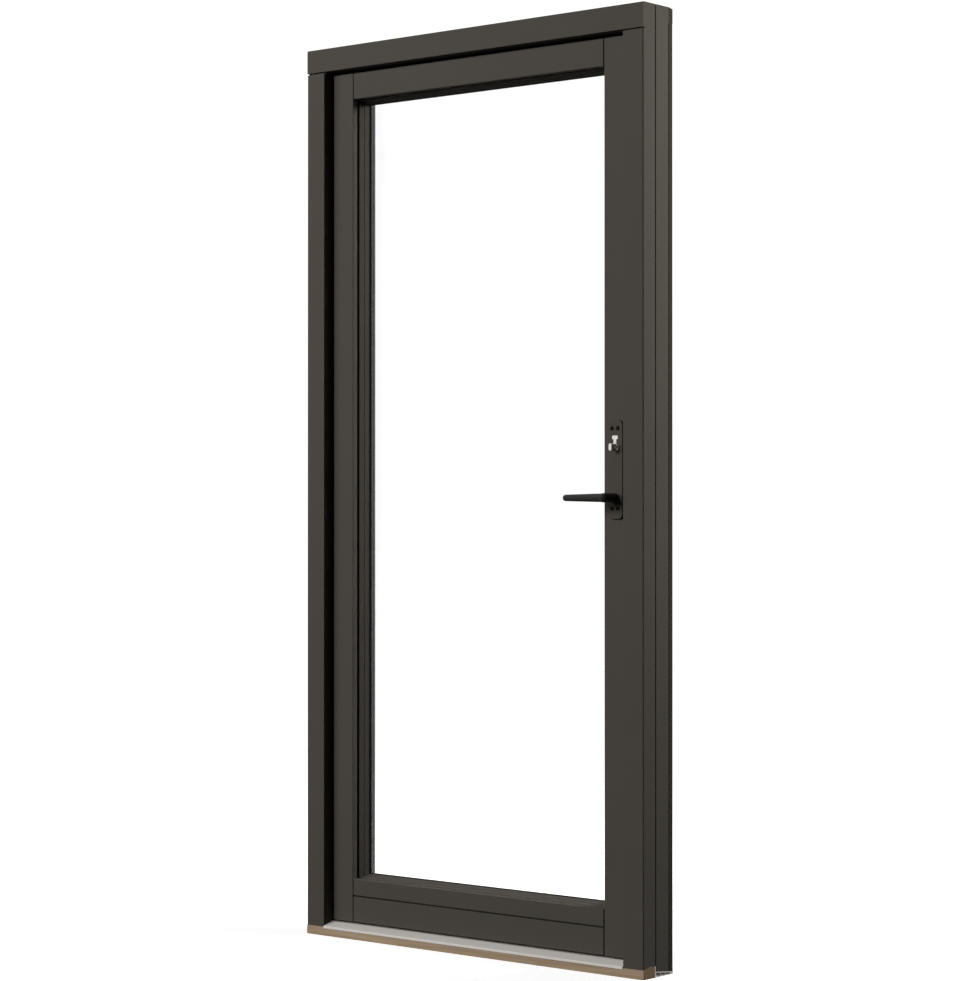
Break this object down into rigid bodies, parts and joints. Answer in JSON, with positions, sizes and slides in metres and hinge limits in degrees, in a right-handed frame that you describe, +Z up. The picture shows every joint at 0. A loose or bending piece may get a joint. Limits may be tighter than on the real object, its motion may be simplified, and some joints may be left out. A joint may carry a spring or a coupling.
{
  "type": "balcony door",
  "caption": "Glazed balcony door in a frame: painted timber with clad outside, leaf hinged to swing out, lever handle, thumb turn and a raised sill.",
  "frame": {"origin": "on the flat underside of the threshold, at the middle of the frame's width and depth", "axes": "+X towards the lock side seen from the room, +Y from the room to the outside, +Z up"},
  "size_m": [0.99, 0.1577, 2.09],
  "materials": {
    "dark_paint": "satin dark grey-brown paint on timber",
    "bare_wood": "bare oiled wood",
    "dark_cladding": "satin dark grey-brown powder coat on aluminium",
    "mill_aluminium": "satin mill aluminium",
    "black_rubber": "matt black rubber",
    "spacer_grey": "matt grey spacer bar",
    "clear_glass": "clear float glass",
    "black_lever": "satin black coating",
    "plate_paint": "satin dark grey-brown coating",
    "lock_steel": "satin steel",
    "hinge_steel": "satin dark coating"
  },
  "bodies": {
    "frame": {"left_jamb": "dark_paint", "right_jamb": "dark_paint", "head": "dark_paint", "wood_sill": "bare_wood", "threshold": "mill_aluminium", "left_jamb_cladding": "dark_cladding", "right_jamb_cladding": "dark_cladding", "head_cladding": "dark_cladding", "strike_plate": "lock_steel", "lower_frame_hinge": "hinge_steel", "middle_frame_hinge": "hinge_steel", "upper_frame_hinge": "hinge_steel"},
    "leaf": {"hinge_stile": "dark_paint", "lock_stile": "dark_paint", "top_rail": "dark_paint", "bottom_rail": "dark_paint", "kick_rail": "dark_paint", "left_bead": "dark_paint", "right_bead": "dark_paint", "top_bead": "dark_paint", "bottom_bead": "dark_paint", "inner_pane": "clear_glass", "outer_pane": "clear_glass", "glass_spacer": "spacer_grey", "inner_gasket": "black_rubber", "outer_gasket": "black_rubber", "hinge_stile_cladding": "dark_cladding", "lock_stile_cladding": "dark_cladding", "top_rail_cladding": "dark_cladding", "bottom_rail_cladding": "dark_cladding", "leaf_seal": "black_rubber", "lock_forend": "lock_steel", "handle_plate": "plate_paint", "lock_cylinder": "lock_steel", "lower_leaf_hinge": "hinge_steel", "middle_leaf_hinge": "hinge_steel", "upper_leaf_hinge": "hinge_steel"},
    "lever": {"lever_handle": "black_lever"},
    "thumb_turn": {"thumb_turn": "lock_steel"}
  },
  "joints": [
    {"name": "leaf_swing", "type": "hinge", "parent": "frame", "child": "leaf", "pos_m": [-0.456, 0.0635, 0], "axis": [0, 0, 1], "range_deg": [0, 100]},
    {"name": "lever_turn", "type": "hinge", "parent": "leaf", "child": "lever", "pos_m": [0.405, -0.0335, 1.029], "axis": [0, -1, 0], "range_deg": [-45, 45]},
    {"name": "thumb_turn_turn", "type": "hinge", "parent": "leaf", "child": "thumb_turn", "pos_m": [0.405, -0.0335, 1.138], "axis": [0, -1, 0], "range_deg": [0, 90]}
  ]
}
